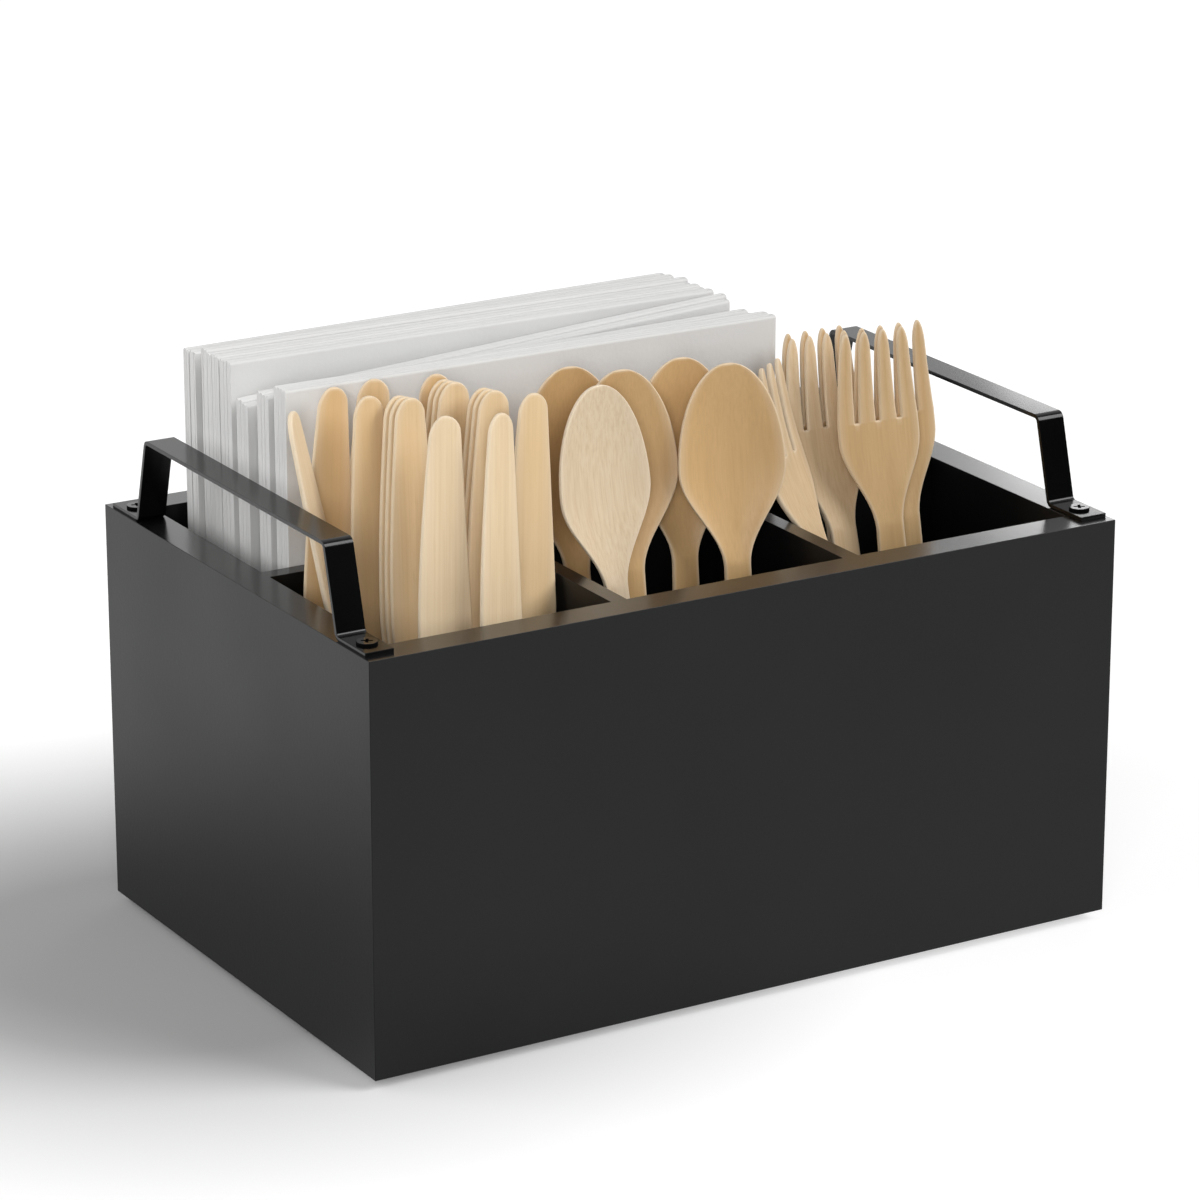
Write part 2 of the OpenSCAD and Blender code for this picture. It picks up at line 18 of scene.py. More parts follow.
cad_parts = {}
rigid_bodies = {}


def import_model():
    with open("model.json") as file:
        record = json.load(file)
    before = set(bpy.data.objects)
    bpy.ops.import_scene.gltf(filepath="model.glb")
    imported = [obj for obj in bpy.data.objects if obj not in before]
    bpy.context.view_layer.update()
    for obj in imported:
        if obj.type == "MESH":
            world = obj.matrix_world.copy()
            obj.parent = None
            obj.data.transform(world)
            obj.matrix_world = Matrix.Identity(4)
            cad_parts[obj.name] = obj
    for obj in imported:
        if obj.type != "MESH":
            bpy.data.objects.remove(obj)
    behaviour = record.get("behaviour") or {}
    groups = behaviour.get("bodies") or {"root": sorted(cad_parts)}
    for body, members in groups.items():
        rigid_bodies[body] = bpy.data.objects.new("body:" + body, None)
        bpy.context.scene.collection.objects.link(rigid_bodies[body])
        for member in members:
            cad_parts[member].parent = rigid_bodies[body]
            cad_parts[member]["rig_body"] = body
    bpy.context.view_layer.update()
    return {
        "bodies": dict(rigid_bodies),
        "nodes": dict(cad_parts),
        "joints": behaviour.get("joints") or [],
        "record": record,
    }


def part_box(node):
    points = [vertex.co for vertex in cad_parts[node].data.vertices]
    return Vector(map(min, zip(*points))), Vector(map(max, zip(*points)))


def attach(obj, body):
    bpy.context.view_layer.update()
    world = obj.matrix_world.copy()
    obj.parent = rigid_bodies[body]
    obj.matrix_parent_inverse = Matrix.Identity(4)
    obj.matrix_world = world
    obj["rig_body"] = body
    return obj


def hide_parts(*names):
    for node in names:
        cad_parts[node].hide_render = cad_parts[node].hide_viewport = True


LOG = logging.getLogger("flatware_caddy")
MM = 0.001
CADDY = "caddy"
GRAIN = "grain"
# Name of the stored share of painted highlight along a utensil's edges.
EDGE_HIGHLIGHT = "rim"
# Name of each piece's stored tone: partly the wood's own tone, partly painted shade or painted highlight.
PIECE_TONE_AND_LIGHT = "tone"
SMOOTH_ANGLE = math.radians(35)
SHARP_ANGLE = math.radians(50)
# Points nearer to each other than this are one point.
CLOSE = 0.01 * MM
# A face looks along an axis if its normal's share along it is greater than this.
TURNED = 0.5
# Nearly all values of a noise lie between these.
NOISE_REACH = (0.3, 0.7)
WHITE = (1, 1, 1, 1)

Colour = tuple[float, float, float]
Place = tuple[float, float, float]
Range = tuple[float, float]
Socket = bpy.types.NodeSocket
Material = bpy.types.Material
Piece = bpy.types.Object
Face = bpy.types.MeshPolygon


class Slot(Enum):
    """Material slots of the record, passed along with each piece's finish."""

    BOX = "box"
    STRAP = "strap"
    SCREW = "screw"
    NAPKIN = "napkin"
    PALE_WOOD = "pale_wood"
    WARM_WOOD = "warm_wood"


class Side(Enum):
    """Sides of the box, as the direction from its middle."""

    FRONT = (0, -1)
    BACK = (0, 1)
    LEFT = (-1, 0)
    RIGHT = (1, 0)


class Bench:
    """Hand tools: short wraps of the operators that shape a mesh."""

    @staticmethod
    def clear() -> None:
        """Deselects every object."""
        bpy.ops.object.select_all(action="DESELECT")

    @staticmethod
    def take(piece: Piece) -> None:
        """Selects one piece alone and makes it the active one.

        Args:
            piece: The piece to work on.
        """
        Bench.clear()
        piece.select_set(True)
        bpy.context.view_layer.objects.active = piece

    @staticmethod
    @contextmanager
    def editing(piece: Piece) -> Iterator[None]:
        """Opens a piece in edit mode and closes it again.

        Args:
            piece: The piece to edit.
        """
        Bench.take(piece)
        bpy.ops.object.mode_set(mode="EDIT")
        yield
        bpy.ops.object.mode_set(mode="OBJECT")

    @staticmethod
    def pick_faces(piece: Piece, wanted: Callable[[Face], bool]) -> None:
        """Selects the faces that pass a test, and nothing else.

        Args:
            piece: The piece whose faces are tested, in object mode.
            wanted: The test of one face.
        """
        bpy.context.tool_settings.mesh_select_mode = (False, False, True)
        mesh = piece.data
        for part in (mesh.vertices, mesh.edges, mesh.polygons):
            part.foreach_set("select", [False] * len(part))
        for face in mesh.polygons:
            face.select = wanted(face)

    @staticmethod
    def named(name: str) -> Piece:
        """Names the piece that was just added, bakes its place into its mesh and returns it.

        Args:
            name: The piece's name.

        Returns:
            The active object.
        """
        piece = bpy.context.view_layer.objects.active
        bpy.ops.object.transform_apply(location=True, rotation=True, scale=True)
        piece.name = name
        piece.data.name = name
        return piece

    @staticmethod
    def block(name: str, low: Vector, high: Vector) -> Piece:
        """Adds a block between two corners.

        Args:
            name: The block's name.
            low: Its lowest corner.
            high: Its highest corner.

        Returns:
            The block.
        """
        Bench.clear()
        bpy.ops.mesh.primitive_cube_add(size=1, location=(low + high) / 2, scale=high - low)
        return Bench.named(name)

    @staticmethod
    def grid(name: str, rows: int, columns: int, point: Callable[[int, int], Sequence[float]]) -> Piece:
        """Adds a grid and moves its points to where a form says that they lie.

        Args:
            name: The piece's name.
            rows: Number of points along the grid.
            columns: Number of points across it.
            point: The place of the point in a row and a column.

        Returns:
            The formed sheet.
        """
        Bench.clear()
        bpy.ops.mesh.primitive_grid_add(x_subdivisions=columns - 1, y_subdivisions=rows - 1, size=1)
        piece = Bench.named(name)
        for vertex in piece.data.vertices:
            row = round((vertex.co.y + 0.5) * (rows - 1))
            column = round((vertex.co.x + 0.5) * (columns - 1))
            vertex.co = point(row, column)
        return piece

    @staticmethod
    def modify(piece: Piece, kind: str, **settings: Any) -> None:
        """Puts a modifier on a piece and applies it.

        Args:
            piece: The piece to change.
            kind: The modifier's type.
            settings: Its settings.
        """
        Bench.take(piece)
        modifier = piece.modifiers.new(kind.title(), kind)
        for name, value in settings.items():
            setattr(modifier, name, value)
        bpy.ops.object.modifier_apply(modifier=modifier.name)

    @staticmethod
    def ease(piece: Piece, width: float, segments: int = 3) -> None:
        """Rounds a piece's sharp edges, over a width and with so many faces across it."""
        Bench.modify(piece, "BEVEL", width=width, segments=segments, limit_method="ANGLE",
                     angle_limit=SHARP_ANGLE)

    @staticmethod
    def smooth(piece: Piece) -> None:
        """Shades a piece smooth, with its flat faces kept flat.

        Args:
            piece: The piece to shade.
        """
        Bench.take(piece)
        bpy.ops.object.shade_smooth_by_angle(angle=SMOOTH_ANGLE)
        Bench.modify(piece, "WEIGHTED_NORMAL", keep_sharp=True)

    @staticmethod
    def face_outwards(piece: Piece) -> None:
        """Merges a piece's doubled points and turns its faces outwards.

        Args:
            piece: The closed piece to mend.
        """
        with Bench.editing(piece):
            bpy.ops.mesh.select_all(action="SELECT")
            bpy.ops.mesh.remove_doubles(threshold=CLOSE)
            bpy.ops.mesh.normals_make_consistent(inside=False)

    @staticmethod
    def copy(piece: Piece, name: str) -> Piece:
        """Copies a piece with a mesh of its own.

        Args:
            piece: The piece to copy.
            name: The copy's name.

        Returns:
            The copy.
        """
        twin = piece.copy()
        twin.data = piece.data.copy()
        twin.name = name
        twin.data.name = name
        bpy.context.scene.collection.objects.link(twin)
        return twin

    @staticmethod
    def discard(piece: Piece) -> None:
        """Deletes a pattern piece or a cutter that is used up."""
        bpy.data.objects.remove(piece)


class Board:
    """Node board of a material or of the world, with the shader that ends it."""

    def __init__(self, owner: Material | bpy.types.World, shader: str = "Principled BSDF") -> None:
        """Opens a board.

        Args:
            owner: The material or the world.
            shader: The name of its shader.
        """
        owner.use_nodes = True
        self.owner = owner
        self.tree = owner.node_tree
        self.shader = self.tree.nodes[shader]

    def plug(self, node: bpy.types.Node, inputs: dict[str | int, Any]) -> None:
        """Sets or links the inputs of a node.

        Args:
            node: The node.
            inputs: A value or another node's output for each input.
        """
        for key, value in inputs.items():
            if isinstance(value, Socket):
                self.tree.links.new(value, node.inputs[key])
            else:
                node.inputs[key].default_value = value

    def add(self, kind: str, inputs: dict[str | int, Any], **settings: Any) -> bpy.types.Node:
        """Adds a node.

        Args:
            kind: The node's type, without its ShaderNode prefix.
            inputs: A value or another node's output for each input.
            settings: The node's own settings.

        Returns:
            The node.
        """
        node = self.tree.nodes.new("ShaderNode" + kind)
        for name, value in settings.items():
            setattr(node, name, value)
        self.plug(node, inputs)
        return node

    def place(self) -> Socket:
        """Coordinates of the object itself."""
        return self.add("TexCoord", {}).outputs["Object"]

    def own(self, name: str, output: str = "Vector") -> Socket:
        """Values that a piece stores at its points."""
        return self.add("Attribute", {}, attribute_name=name).outputs[output]

    def noise(self, place: Socket, detail: float, across: float, along: float | None = None) -> Socket:
        """Adds a noise of about 0.5 on the whole, with so many spots per metre across and along the grain."""
        laid = self.add("Mapping", {"Vector": place, "Scale": (across, across, along or across)})
        return self.add("TexNoise", {"Vector": laid.outputs[0], "Scale": 1, "Detail": detail}).outputs[0]

    def blend(self, share: Socket, first: Colour | Socket, second: Colour) -> Socket:
        """Mixes a share of a second colour into a first one."""
        first = first if isinstance(first, Socket) else (*first, 1)
        return self.add("Mix", {0: share, 6: first, 7: (*second, 1)}, data_type="RGBA").outputs[2]

    def spread(self, value: Socket, reach: Range = NOISE_REACH, to: tuple[Any, Any] = (0, 1)) -> Socket:
        """Stretches the values within a reach over another."""
        return self.add("MapRange", {0: value, 1: reach[0], 2: reach[1], 3: to[0], 4: to[1]}).outputs[0]

    def bump(self, height: Socket, depth: float, strength: float = 0.5) -> None:
        """Gives the surface a fine relief of a depth, of which a share shows."""
        relief = self.add("Bump", {"Height": height, "Distance": depth, "Strength": strength})
        self.plug(self.shader, {"Normal": relief.outputs[0]})

    def rays(self, *kinds: str) -> Socket:
        """Tells the rays of some kinds from all the others.

        Args:
            kinds: The kinds, as outputs of the light path.

        Returns:
            1 for these rays, and 0 for the others.
        """
        path = self.add("LightPath", {})
        found = path.outputs[kinds[0]]
        for kind in kinds[1:]:
            found = self.add("Math", {0: found, 1: path.outputs[kind]}, operation="MAXIMUM").outputs[0]
        return found


@dataclass(frozen=True)
class PaintFinish:
    """Dark paint or coating: almost even, with a fine orange-peel relief and soft changes of gloss."""

    name: str
    tone: Colour
    worn_tone: Colour
    roughness: Range
    specular: float
    peel_per_metre: float
    peel_depth: float
    coat: float = 0.0
    clouds_per_metre: float = 14
    specks_per_metre: float = 900
    speck_reach: Range = (0.62, 0.8)

    def material(self) -> Material:
        """Makes the finish.

        Returns:
            The material.
        """
        board = Board(bpy.data.materials.new(self.name))
        place = board.place()
        clouds = board.noise(place, 4, self.clouds_per_metre)
        peel = board.noise(place, 2, self.peel_per_metre)
        specks = board.spread(board.noise(place, 1, self.specks_per_metre), self.speck_reach)
        tone = board.blend(board.spread(clouds), self.tone, self.worn_tone)
        board.plug(board.shader, {
            "Base Color": board.blend(specks, tone, self.worn_tone),
            "Roughness": board.spread(clouds, to=self.roughness),
            "Specular IOR Level": self.specular,
            "Coat Weight": self.coat,
            "Coat Roughness": self.roughness[0],
        })
        board.bump(peel, self.peel_depth)
        return board.owner


@dataclass(frozen=True)
class WoodFinish:
    """Planed bare wood with a fine lengthwise grain, paler or browner from piece to piece, partly as the
    wood's own tone and partly as painted shade on pieces in shade and painted highlight on lit ones, with a
    painted highlight along its edges too.
    """

    name: str
    pale: Colour
    deep: Colour
    streak: Colour
    # Paler colour: the wood's own paler tone on some pieces, painted highlight on lit pieces and along the
    # edges.
    rubbed: Colour = (0.8, 0.685, 0.525)
    # Browner colour: the wood's own deeper tone on some pieces, painted shade on pieces that stand in shade.
    browned: Colour = (0.64, 0.39, 0.16)
    roughness: Range = (0.38, 0.52)
    specular: float = 0.3
    relief: float = 0.06 * MM
    clouds: Range = (38, 16)
    bands: Range = (170, 5)
    fibres: Range = (1500, 22)
    pores: Range = (2400, 110)

    def material(self) -> Material:
        """Makes the finish, with its grain along the third axis of the grain coordinates.

        Returns:
            The material.
        """
        board = Board(bpy.data.materials.new(self.name))
        place, own = board.own(GRAIN), board.own(PIECE_TONE_AND_LIGHT, "Fac")
        fibres = board.noise(place, 4, *self.fibres)
        tone = board.blend(board.spread(board.noise(place, 3, *self.clouds)), self.pale, self.deep)
        layers = (
            (board.noise(place, 3, *self.bands), (0.42, 0.75), 0.5, self.streak),
            # Each piece's own tone: browner as wood tone and painted shade, paler as wood tone and painted
            # highlight.
            (own, (0, -1), 0.9, self.browned),
            (own, (0, 1), 0.9, self.rubbed),
            (fibres, (0.4, 0.75), 0.35, self.streak),
            (board.noise(place, 1, *self.pores), (0.64, 0.78), 0.3, self.streak),
            # Painted highlight: the wood pales towards each edge, where its rounding catches the light.
            (board.own(EDGE_HIGHLIGHT, "Fac"), (0, 1), 0.7, self.rubbed),
        )
        for value, reach, most, colour in layers:
            tone = board.blend(board.spread(value, reach, (0, most)), tone, colour)
        board.plug(board.shader, {
            "Base Color": tone,
            "Roughness": board.spread(fibres, to=self.roughness),
            "Specular IOR Level": self.specular,
        })
        board.bump(fibres, self.relief)
        return board.owner


@dataclass(frozen=True)
class StripFinish:
    """Rough-sawn wood of the strips in the mitres, its grain upright."""

    name: str
    pale: Colour
    deep: Colour
    roughness: Range = (0.6, 0.8)
    specular: float = 0.25
    relief: float = 0.1 * MM
    relief_share: float = 0.6
    fibres: Range = (900, 18)

    def material(self) -> Material:
        """Makes the finish on the box's own coordinates.

        Returns:
            The material.
        """
        board = Board(bpy.data.materials.new(self.name))
        fibres = board.noise(board.place(), 4, *self.fibres)
        board.plug(board.shader, {
            "Base Color": board.blend(board.spread(fibres), self.pale, self.deep),
            "Roughness": board.spread(fibres, to=self.roughness),
            "Specular IOR Level": self.specular,
        })
        board.bump(fibres, self.relief, self.relief_share)
        return board.owner


@dataclass(frozen=True)
class PaperFinish:
    """Soft white tissue paper with a faint pressed relief."""

    name: str
    pale: Colour
    shade: Colour
    dots_per_metre: float = 620
    quilt_per_metre: float = 46
    clouds_per_metre: float = 22
    fibres_per_metre: float = 2600
    quilt_share: float = 0.7
    fibre_share: float = 0.25
    roughness: Range = (0.85, 0.97)
    specular: float = 0.15
    sheen: float = 0.08
    relief: float = 0.35 * MM

    def material(self) -> Material:
        """Makes the finish on the sheet's own coordinates.

        Returns:
            The material.
        """
        board = Board(bpy.data.materials.new(self.name))
        place = board.own(GRAIN)
        clouds = board.noise(place, 4, self.clouds_per_metre)
        fibres = board.noise(place, 3, self.fibres_per_metre)
        quilt = board.noise(place, 2, self.quilt_per_metre)
        dots = board.add("TexVoronoi", {"Vector": place, "Scale": self.dots_per_metre}).outputs["Distance"]
        relief = board.add("MixRGB", {0: self.quilt_share, 1: dots, 2: quilt}).outputs[0]
        relief = board.add("MixRGB", {0: self.fibre_share, 1: relief, 2: fibres}).outputs[0]
        tone = board.blend(board.spread(clouds, (0.3, 0.75)), self.pale, self.shade)
        board.plug(board.shader, {
            "Base Color": board.blend(board.spread(fibres, (0.45, 0.8), (0, 0.4)), tone, self.shade),
            "Roughness": board.spread(fibres, to=self.roughness),
            "Specular IOR Level": self.specular,
            "Sheen Weight": self.sheen,
        })
        board.bump(relief, self.relief)
        return board.owner


PAINT = PaintFinish("black_satin_paint", (0.0032, 0.0032, 0.0034), (0.0055, 0.0055, 0.0058),
                    (0.32, 0.4), 0.24, 650, 0.05 * MM)
RIM_PAINT = PaintFinish("black_rubbed_paint", PAINT.tone, PAINT.worn_tone,
                        (0.19, 0.25), 0.45, 500, 0.008 * MM, 0.25)
COATING = PaintFinish("black_strap_coating", (0.0012, 0.0012, 0.0013), (0.0024, 0.0024, 0.0026),
                      (0.13, 0.17), 0.3, 900, 0.006 * MM)
BLACKING = PaintFinish("blacked_screw_steel", (0.002, 0.002, 0.0022), (0.004, 0.004, 0.0042),
                       (0.12, 0.17), 0.9, 1600, 0.004 * MM)
# Painted shade for the screws' recess and head side: a darker, duller black than the head's top.
PAINTED_SHADE_PIT = PaintFinish("blacked_screw_recess", (0.0006, 0.0006, 0.0006), (0.0012, 0.0012, 0.0012),
                  (0.7, 0.8), 0.05, 1600, 0.004 * MM)
RUBBER = PaintFinish("black_foot_rubber", (0.012, 0.012, 0.012), (0.022, 0.022, 0.021),
                     (0.7, 0.85), 0.3, 1200, 0.05 * MM)
PALE_WOOD = WoodFinish("pale_birch", (0.76, 0.575, 0.35), (0.71, 0.52, 0.295), (0.6, 0.41, 0.215))
WARM_WOOD = WoodFinish("warm_birch", (0.63, 0.43, 0.22), (0.57, 0.37, 0.175), (0.48, 0.3, 0.135))
STRIP = StripFinish("spline_beech", (0.5, 0.36, 0.22), (0.38, 0.26, 0.15))
TISSUE = PaperFinish("white_tissue", (0.7, 0.698, 0.69), (0.655, 0.653, 0.645))
# Per-piece tones, below 0 browner and above 0 paler: partly the wood's own tone, partly painted shade on
# pieces in shade and painted highlight on lit pieces.
PIECE_TONES_AND_LIGHT = {
    "knife_1": 0.5, "knife_2": -0.55, "knife_3": -0.5, "knife_4": -0.35, "knife_8": 0.4, "knife_9": -0.6,
    "knife_12": -0.3, "knife_15": -0.3, "knife_16": 0.3, "knife_17": -0.1,
    "spoon_1": -0.4, "spoon_2": 0.75, "spoon_3": -0.3, "spoon_4": -0.4, "spoon_5": -0.4,
    "fork_1": 0.35, "fork_2": 0.35,
}


def dress(piece: Piece, finish: Material, slot: Slot, body: str, *nodes: str) -> None:
    """Gives a piece its finish and its place on the object.

    Args:
        piece: The finished piece.
        finish: Its material.
        slot: The record's slot that the finish goes with; not used.
        body: The body that it moves with.
        nodes: The solids that it stands for.
    """
    piece.data.materials.clear()
    piece.data.materials.append(finish)
    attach(piece, body)
    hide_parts(*nodes)
    LOG.info("%s on %s: %d faces", piece.name, body, len(piece.data.polygons))


def keep_grain(piece: Piece, points: Sequence[Sequence[float]]) -> None:
    """Stores the coordinates that a piece's grain follows, for each of its points."""
    grain = piece.data.attributes.new(GRAIN, "FLOAT_VECTOR", "POINT")
    grain.data.foreach_set("vector", np.asarray(points, float).ravel())


def steps(start: float, end: float, count: int) -> list[float]:
    """Lists even steps after a start, the last of them at an end."""
    return [start + (end - start) * k / count for k in range(1, count + 1)]


def round_steps(length: float, count: int) -> list[float]:
    """Lists steps from 0 to a length, close together at first, as on a rounded tip."""
    return [length * (1 - math.cos(math.pi / 2 * k / count)) for k in range(count + 1)]


@dataclass
class Box:
    """The box: four mitred walls, three dividers and the floor, all in black paint."""

    edge_round: float = 0.22 * MM
    divider_round: float = 0.2 * MM
    rim_level: float = 0.9

    def __post_init__(self) -> None:
        """Reads the walls' places."""
        front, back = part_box("front_wall"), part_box("back_wall")
        self.low = Vector((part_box("left_wall")[0].x, front[0].y, front[0].z))
        self.high = Vector((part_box("right_wall")[1].x, back[1].y, back[1].z))
        self.wall = front[1].y - self.low.y
        self.paint = PAINT.material()
        self.rim_paint = RIM_PAINT.material()

    def polish(self, panel: Piece) -> None:
        """Gives a panel's upper edge the gloss of paint that hands have rubbed.

        Args:
            panel: The finished panel.
        """
        panel.data.materials.append(self.rim_paint)
        for face in panel.data.polygons:
            face.material_index = int(face.normal.z > self.rim_level)

    def ring(self) -> Piece:
        """Models the four walls as one ring with eased edges.

        Returns:
            The ring, which is cut into walls later.
        """
        ring = Bench.block("wall_ring", self.low, self.high)
        Bench.pick_faces(ring, lambda face: abs(face.normal.z) > TURNED)
        with Bench.editing(ring):
            bpy.ops.mesh.delete(type="ONLY_FACE")
        Bench.modify(ring, "SOLIDIFY", thickness=self.wall, offset=-1, use_even_offset=True)
        Bench.ease(ring, self.edge_round)
        return ring

    def mitre(self, wall: Piece, side: Side) -> None:
        """Cuts one wall out of a copy of the ring, along the mitres at its two ends.

        Args:
            wall: The copy of the ring.
            side: The wall's side of the box.
        """
        out = Vector((*side.value, 0))
        along = Vector((-out.y, out.x, 0))
        half = Vector((self.high.x, self.high.y, 0))
        for end in (-1, 1):
            way = out + along * end
            corner = Vector((half.x * way.x, half.y * way.y, 0))
            with Bench.editing(wall):
                bpy.ops.mesh.select_all(action="SELECT")
                bpy.ops.mesh.bisect(plane_co=corner, plane_no=along * end - out, use_fill=True,
                                    clear_outer=True)

    def build_walls(self) -> None:
        """Models the four walls."""
        ring = self.ring()
        for side in Side:
            name = side.name.lower()
            wall = Bench.copy(ring, name + "_panel")
            self.mitre(wall, side)
            Bench.smooth(wall)
            dress(wall, self.paint, Slot.BOX, CADDY, name + "_wall")
            self.polish(wall)
        Bench.discard(ring)

    def build_dividers(self) -> None:
        """Models the three dividers between the faces of the walls."""
        inner = self.wall
        for node in ("long_divider", "left_cross_divider", "right_cross_divider"):
            low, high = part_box(node)
            low = Vector((max(low.x, self.low.x + inner), max(low.y, self.low.y + inner), low.z))
            high = Vector((min(high.x, self.high.x - inner), min(high.y, self.high.y - inner), high.z))
            if node != "long_divider":
                high.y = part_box("long_divider")[0].y
            partition = Bench.block(node.replace("divider", "partition"), low, high)
            Bench.ease(partition, self.divider_round)
            Bench.smooth(partition)
            dress(partition, self.paint, Slot.BOX, CADDY, node)
            self.polish(partition)

    def dress_hidden(self, nodes: dict[str, Piece]) -> None:
        """Finishes the solids that are right as they are: the floor, the pads and the strips in the mitres.

        Args:
            nodes: The part's solids by name.
        """
        finishes = {"floor": self.paint, "foot_pads": RUBBER.material(), "corner_splines": STRIP.material()}
        for node, finish in finishes.items():
            nodes[node].data.materials.clear()
            nodes[node].data.materials.append(finish)


@dataclass
class StrapHandle:
    """A flat bar bent into a handle."""

    thickness: float = 1.5 * MM
    foot: float = 18.6 * MM
    bend: float = 1.5 * MM
    slope: float = math.radians(75)
    bend_steps: int = 10
    edge_round: float = 0.14 * MM

    def build(self, node: str, coating: Material) -> None:
        """Bends one handle out of its end face, by extruding and spinning it.

        Args:
            node: The solid that it stands for.
            coating: Its material.
        """
        low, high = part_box(node)
        middle = self.bend + self.thickness / 2
        rise = high.z - low.z - self.thickness - 2 * middle * (1 - math.cos(self.slope))
        leg = rise / math.sin(self.slope)
        run = 2 * middle * math.sin(self.slope) + leg * math.cos(self.slope)
        grip = high.y - low.y - 2 * (self.foot + run)
        at = Vector(((low.x + high.x) / 2, low.y, low.z + self.thickness / 2))
        Bench.clear()
        bpy.ops.mesh.primitive_plane_add(size=1, location=at, rotation=(math.pi / 2, 0, 0))
        bpy.context.object.scale = (high.x - low.x, self.thickness, 1)
        strap = Bench.named(node + "_strap")
        heading = 0.0
        turns = (self.slope, -self.slope, -self.slope, self.slope, None)
        lengths = (self.foot, leg, grip, leg, self.foot)
        with Bench.editing(strap):
            bpy.ops.mesh.select_all(action="SELECT")
            for length, turn in zip(lengths, turns):
                ahead = Vector((0, math.cos(heading), math.sin(heading)))
                bpy.ops.mesh.extrude_region_move(TRANSFORM_OT_translate={"value": ahead * length})
                at += ahead * length
                if turn is None:
                    break
                side = Vector((0, -ahead.z, ahead.y)) * math.copysign(middle, turn)
                bpy.ops.mesh.spin(steps=self.bend_steps, angle=-turn, center=at + side, axis=(1, 0, 0))
                at += side + Matrix.Rotation(turn, 3, "X") @ -side
                heading += turn
        Bench.face_outwards(strap)
        Bench.ease(strap, self.edge_round, 2)
        Bench.smooth(strap)
        dress(strap, coating, Slot.STRAP, CADDY, node)


@dataclass
class PanScrews:
    """Low-headed screws with a cross recess."""

    head: float = 7.4 * MM
    solid_height: float = 2.2 * MM
    height: float = 0.95 * MM
    dome: float = 0.16 * MM
    dome_steps: int = 6
    dome_profile: float = 0.55
    recess: Place = (4.3 * MM, 1.15 * MM, 0.7 * MM)
    recess_reach: float = 0.505
    side_level: float = 0.6
    taper: float = 0.92
    turns: Range = (math.radians(-31), math.radians(-16))
    sides: int = 48

    def pattern(self) -> Piece:
        """Models one screw, its head's underside at the origin.

        Returns:
            The screw.
        """
        Bench.clear()
        bpy.ops.mesh.primitive_cylinder_add(vertices=self.sides, radius=self.head / 2, depth=self.height,
                                            location=(0, 0, self.height / 2))
        screw = Bench.named("screw_pattern")
        Bench.pick_faces(screw, lambda face: face.normal.z > TURNED)
        with Bench.editing(screw):
            bpy.ops.mesh.bevel(offset=self.dome, segments=self.dome_steps, affect="EDGES",
                               profile=self.dome_profile)
        for turn in (0, math.pi / 2):
            cutter = self.cutter(turn)
            Bench.modify(screw, "BOOLEAN", operation="DIFFERENCE", object=cutter, solver="EXACT")
            Bench.discard(cutter)
        return screw

    def cutter(self, turn: float) -> Piece:
        """Models one arm of the recess, narrower at its foot.

        Args:
            turn: The arm's turn about the screw.

        Returns:
            The cutter.
        """
        length, width, depth = self.recess
        low = Vector((-length / 2, -width / 2, self.height - depth))
        cutter = Bench.block("recess_cutter", low, Vector((-low.x, -low.y, self.height + depth)))
        Bench.pick_faces(cutter, lambda face: face.normal.z < -TURNED)
        with Bench.editing(cutter):
            bpy.ops.transform.resize(value=(self.taper, self.taper, 1))
        cutter.data.transform(Matrix.Rotation(turn, 4, "Z"))
        return cutter

    def is_dull(self, face: Face) -> bool:
        """Tells whether a face lies in the recess or on the head's side, which get a painted shade: a darker,
        duller black than the head's top.
        """
        if not 0 < face.center.z < self.height - CLOSE:
            return False
        off = face.center.xy.length
        return off < self.recess_reach * self.recess[0] or abs(face.normal.z) < self.side_level

    def build(self, node: str, blacking: Material, shade_pit: Material) -> None:
        """Sets a screw at each end of a handle.

        Args:
            node: The solids that the screws stand for.
            blacking: Their material.
            shade_pit: Their painted shade, the darker and duller material of their recess and sides.
        """
        low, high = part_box(node)
        pattern = self.pattern()
        # Faces of the recess and of the head's side, which get the painted shade.
        painted_dark = [face.index for face in pattern.data.polygons if self.is_dull(face)]
        ends = (("front", low.y + self.head / 2), ("rear", high.y - self.head / 2))
        for (end, y), angle in zip(ends, self.turns):
            screw = Bench.copy(pattern, f"{node[:-1]}_{end}")
            place = Matrix.Translation(((low.x + high.x) / 2, y, high.z - self.solid_height))
            screw.data.transform(place @ Matrix.Rotation(angle, 4, "Z"))
            Bench.smooth(screw)
            dress(screw, blacking, Slot.SCREW, CADDY, node)
            screw.data.materials.append(shade_pit)
            for index in painted_dark:
                screw.data.polygons[index].material_index = 1
        Bench.discard(pattern)


